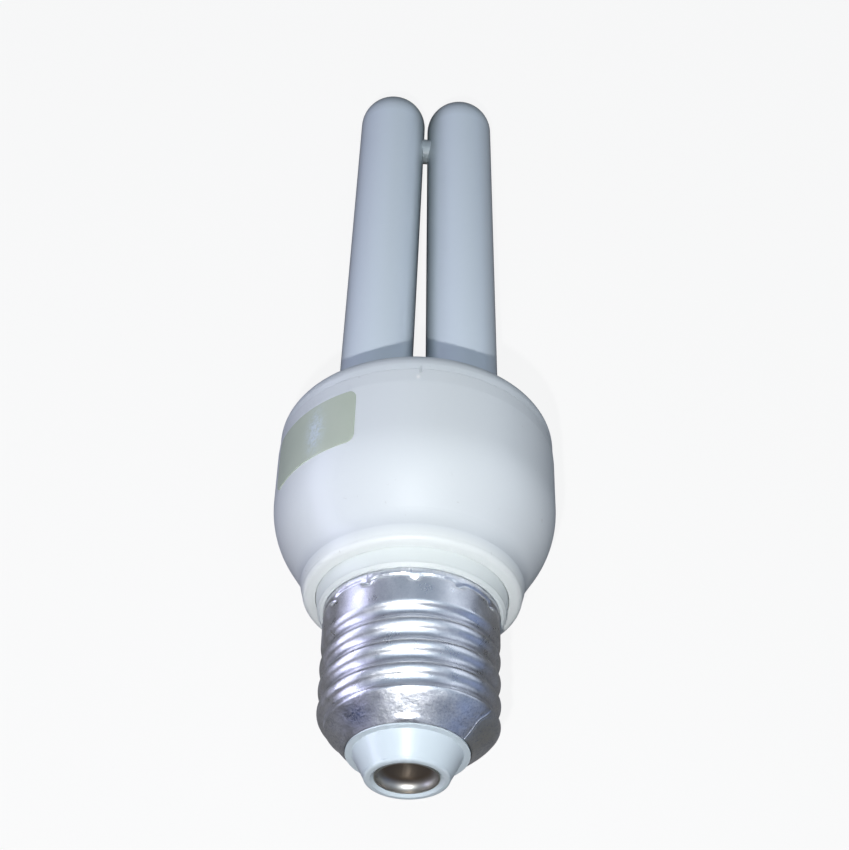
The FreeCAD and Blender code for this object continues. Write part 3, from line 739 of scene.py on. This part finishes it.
# %% [markdown]
# ### The contact
#
# The contact is a dished disc. Its rim keeps the metal's own colour, and painted shade makes its
# floor brown and dark. The height alone tells rim from floor, so one ramp mixes the two.

# %% The contact's finish
RIM_TO_FLOOR = (1.1, 1.85)
POLISHED_METAL = (0.5, 0.49, 0.46)
FLOOR_PAINTED_SHADE = (0.24, 0.19, 0.15)


def contact_metal():
    """The contact: its own metal near its rim, with painted shade making its floor brown and dark.
    """
    made, tree, shader = surface("contact", (0.5, 0.45, 0.4), 0.4, 1.0)
    place = lamp_place(tree)
    # Painted shade: the floor of the dish turns brown and dark.
    deep = place.height.ramp(*RIM_TO_FLOOR)
    join(tree, mixed(tree, deep, POLISHED_METAL, FLOOR_PAINTED_SHADE), shader.inputs["Base Color"])
    specks = noise(tree, place.vector, 4.0, 4.0, 0.7)
    join(tree, 0.36 + specks * 0.12, shader.inputs["Roughness"])
    return made


FINISHES["contact_metal"] = contact_metal()
print("from rim to floor:", round(RIM_TO_FLOOR[1] - RIM_TO_FLOOR[0], 2), "mm")

# %% [markdown]
# ### The coated glass
#
# The tube is clear glass with a white powder on its inside, which looks blue-grey while the lamp
# is off. Real glass over a coat would need rays that bend through a thin wall. A white surface
# under a clear, dense coat looks much the same and renders cleanly. Painted shade darkens the
# bridge, the glass between the legs and the tips of the domes.

# %% The tube's finish
POWDER = (0.82, 0.9, 0.98)
PAINTED_SHADE_GLASS = (0.25, 0.29, 0.3)
BRIDGE_SPREAD = 2.0
DOME_TIPS = (134.8, 140.6)


def coated_glass():
    """The tube: clear glass over a white coat, with painted shade at the bridge, between the legs
    and at the dome tips.
    """
    made, tree, shader = surface("coated glass", POWDER, 0.35, 0.0, 1.0)
    place = lamp_place(tree)
    # Painted shade at the bridge and between the legs, and at the tips of the domes below.
    bridge = place.x.hill(0.0, BRIDGE_SPREAD) * 0.8
    painted_shade = (bridge + place.height.ramp(*DOME_TIPS) * 0.75).clamped()
    join(tree, mixed(tree, painted_shade, POWDER, PAINTED_SHADE_GLASS), shader.inputs["Base Color"])
    shader.inputs["Coat Roughness"].default_value = 0.05
    shader.inputs["Coat IOR"].default_value = 1.7
    return made


FINISHES["coated_glass"] = coated_glass()
# Above this height the tips of the domes get painted shade.
print("the powder thins out above", DOME_TIPS[0], "mm")

# %% [markdown]
# ### Plain finishes
#
# The insulator, the collar and all that is inside the housing are the same all over. A function
# for each would repeat itself, so a table says what each is: its name, colour, roughness, whether
# it is metal, and how much clear coat it has.

# %% The plain finishes
PLAIN = {
    "insulator_white": ("insulator", (0.71, 0.795, 0.855), 0.3, 0.0, 0.2),
    "collar_plastic": ("collar", (0.8, 0.84, 0.83), 0.4),
    "cement": ("cement", (0.8, 0.78, 0.72), 0.9),
    "wire_metal": ("tinned wire", (0.7, 0.7, 0.72), 0.3, 1.0),
    "board": ("board", (0.5, 0.4, 0.2), 0.6),
    "capacitor_sleeve": ("capacitor sleeve", (0.03, 0.03, 0.04), 0.35),
    "ferrite": ("ferrite", (0.05, 0.05, 0.055), 0.7),
    "bobbin_plastic": ("bobbin", (0.02, 0.02, 0.022), 0.6),
    "copper": ("copper", (0.6, 0.25, 0.12), 0.35, 1.0),
    "film_case": ("film case", (0.35, 0.06, 0.03), 0.35),
    "black_case": ("black case", (0.02, 0.02, 0.02), 0.5),
    "resistor_coat": ("resistor coat", (0.55, 0.4, 0.24), 0.5),
}
for name, look in PLAIN.items():
    FINISHES[name] = surface(*look)[0]
print("finishes:", len(FINISHES))

# %% [markdown]
# The record names a slot for every CAD piece, so one loop gives each piece its finish.

# %% One finish for each piece
for entry in frame["record"]["subparts"]:
    mesh = frame["nodes"][entry["node"]].data
    mesh.materials.clear()
    mesh.materials.append(FINISHES[entry["material_slot"]])

# %% [markdown]
# ## Putting the shell in place
#
# The fine shell is made upright and laid down by the lamp's matrix, with its place in its mesh.
# It takes the place of the CAD shell and moves with the lamp's one body. The grid is fine enough
# for the highlights to run smoothly round the thread.

# %% The fine shell
COLUMNS, ROWS = 241, 300
shell_mesh = made_by_rule("screw shell", THREADED_SHELL, {
    **SHELL, "Columns": COLUMNS, "Rows": ROWS, "Finish": FINISHES["base_metal"]})
shell_mesh.transform(LAMP)
outwards(shell_mesh)
shell = bpy.data.objects.new("screw_shell_fine", shell_mesh)
bpy.context.collection.objects.link(shell)
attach(shell, "root")
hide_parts("screw_shell")
print("shell faces:", len(shell_mesh.polygons))

# %% [markdown]
# ## The ground
#
# The photo shows the lamp on plain white. A single large square is enough for that, and it
# is a stage piece, not part of the lamp.

# %% The ground
GROUND_REACH = 3.0
CORNERS = ((-1, -1), (1, -1), (1, 1), (-1, 1))
ground_mesh = bpy.data.meshes.new("ground")
ground_mesh.from_pydata([(x * GROUND_REACH, y * GROUND_REACH, 0) for x, y in CORNERS],
                        [], [(0, 1, 2, 3)])
ground = bpy.data.objects.new("ground", ground_mesh)
bpy.context.collection.objects.link(ground)
print("the ground is", 2 * GROUND_REACH, "m wide")

# %% [markdown]
# A white floor would light the lamp from below and show in its metal, which the photo doesn't
# have. So only the camera sees it pale: there nine tenths of it shine by themselves and a tenth
# catches the lamp's shadow. All other rays meet a dim grey floor.

# %% The ground's paint
SHINING_SHARE = 0.9
ground_paint = bpy.data.materials.new("pale ground")
ground_paint.use_nodes = True
ground_tree = ground_paint.node_tree
ground_tree.nodes.clear()
dim = node(ground_tree, "ShaderNodeBsdfDiffuse", {"Color": (0.17, 0.165, 0.16, 1)})
shine = node(ground_tree, "ShaderNodeEmission", {"Color": (1, 1, 1, 1), "Strength": 0.98})
pale = node(ground_tree, "ShaderNodeBsdfDiffuse", {"Color": (0.9, 0.9, 0.9, 1)})
white_floor = node(ground_tree, "ShaderNodeMixShader", {
    0: SHINING_SHARE, 1: pale.outputs[0], 2: shine.outputs[0]})
ground_ray = ground_tree.nodes.new("ShaderNodeLightPath")
floor = node(ground_tree, "ShaderNodeMixShader", {
    0: ground_ray.outputs["Is Camera Ray"], 1: dim.outputs[0], 2: white_floor.outputs[0]})
ground_end = ground_tree.nodes.new("ShaderNodeOutputMaterial")
join(ground_tree, floor.outputs[0], ground_end.inputs[0])
ground_mesh.materials.append(ground_paint)
print("nodes in the ground's paint:", len(ground_tree.nodes))

# %% [markdown]
# ## The room
#
# Metal shows the room that it is in. This one is dim, with a cool ceiling, a bluish right and a
# pale lilac wall on the left that only mirrored rays meet. No walls are modelled: the world has a
# colour for each direction. The camera itself sees white.

# %% The room's colours
CEILING = (0.42, 0.52, 0.65)
DIM_SIDE = (0.13, 0.12, 0.14)
BLUE_SIDE = (0.15, 0.2, 0.32)
LILAC_WALL = (1.9, 1.9, 2.6)
WHITE = (1.0, 1.0, 1.0)

world = bpy.data.worlds.new("room")
bpy.context.scene.world = world
world.use_nodes = True
room_tree = world.node_tree
background = room_tree.nodes["Background"]
way = node(room_tree, "ShaderNodeSeparateXYZ", {
    "Vector": node(room_tree, "ShaderNodeTexCoord").outputs["Generated"]})
rightwards, upwards = (Value(room_tree, way.outputs[name]) for name in "XZ")
room_ray = room_tree.nodes.new("ShaderNodeLightPath")
mirrored = Value(room_tree, room_ray.outputs["Is Glossy Ray"])
straight = Value(room_tree, room_ray.outputs["Is Camera Ray"])
wall = rightwards.ramp(-0.7, -0.95) * upwards.hill(0.07, 0.19) * mirrored
sides = mixed(room_tree, rightwards.ramp(0.1, 0.9), DIM_SIDE, BLUE_SIDE)
walled = mixed(room_tree, wall, sides, LILAC_WALL)
sky = mixed(room_tree, upwards.ramp(0.15, 0.95), walled, CEILING)
join(room_tree, mixed(room_tree, straight, sky, WHITE), background.inputs["Color"])
join(room_tree, mirrored * 0.65 + straight * 0.7 + 0.25, background.inputs["Strength"])
print("nodes in the room:", len(room_tree.nodes))

# %% [markdown]
# ## The flash
#
# The photo was taken with a small flash a few centimetres from the lens, towards the lamp's base.
# A tiny point light there throws the housing's sharp shadow on the feet of the tube's legs, which
# is the dark band that the photo shows. A larger light would blur it.

# %% The flash
flash_light = bpy.data.lights.new("flash", "POINT")
flash_light.energy = 1.52
flash_light.shadow_soft_size = 0.0025
flash_light.color = (1.0, 1.0, 0.99)
flash = bpy.data.objects.new("flash", flash_light)
flash.location = (-0.0231, -0.1556, 0.2384)
bpy.context.collection.objects.link(flash)
print("the flash is", round(flash.location.length / MM), "mm from the frame's origin")

# %% [markdown]
# ## Soft panels
#
# Four soft panels stand for the bright things in the room. They fill the flash's shadows a
# little, and the threads mirror them as long pale, lilac and blue highlights. Each is given by
# its place, the point it faces, its width and height in metres, its power in watts and its
# colour.

# %% The panels
BASE_AT = (0.0, -0.05, 0.03)
MIDDLE_AT = (0.0, 0.0, 0.0)
PANELS = {
    "lilac wall": ((-0.55, 0.02, 0.07), BASE_AT, (0.7, 0.26), 1.45, (0.72, 0.75, 1.0)),
    "pale corner": ((0.41, 0.14, 0.24), BASE_AT, (0.46, 0.3), 0.33, (0.88, 0.94, 1.0)),
    "blue corner": ((0.4, -0.36, 0.06), BASE_AT, (0.26, 0.16), 0.065, (0.4, 0.56, 1.0)),
    "ceiling": ((0.0, -0.08, 0.65), MIDDLE_AT, (0.5, 0.5), 0.84, (0.84, 0.94, 1.0)),
}
for name, (place, target, size, power, colour) in PANELS.items():
    light = bpy.data.lights.new(name, "AREA")
    light.shape, light.size, light.size_y = "RECTANGLE", *size
    light.energy, light.color = power, colour
    panel = bpy.data.objects.new(name, light)
    panel.location = place
    panel.rotation_euler = (Vector(target) - Vector(place)).to_track_quat("-Z", "Y").to_euler()
    bpy.context.collection.objects.link(panel)
print("panels:", list(PANELS))

# %% [markdown]
# ## The camera
#
# The camera stands where the photo was taken from, above the base and looking along the lamp, so
# the near base looks large and the far domes small. Its place, its turn and its lens were solved
# from the round rings of the base, whose true sizes are known.

# %% The camera
camera_lens = bpy.data.cameras.new("camera")
camera_lens.sensor_width = 36.0
camera_lens.sensor_fit = "HORIZONTAL"
camera_lens.lens = 68.76
camera_lens.clip_start = 0.01
camera = bpy.data.objects.new("camera", camera_lens)
camera.location = (-0.01277, -0.13182, 0.25186)
camera.rotation_euler = [math.radians(angle) for angle in (28.136, -4.556, 2.084)]
bpy.context.collection.objects.link(camera)
bpy.context.scene.camera = camera
bpy.context.scene.view_settings.view_transform = "Standard"
print("the camera is", round(camera.location.length / MM), "mm from the frame's origin")

# %% [markdown]
# ## The end
#

# %% Finish
print("the scene is built")
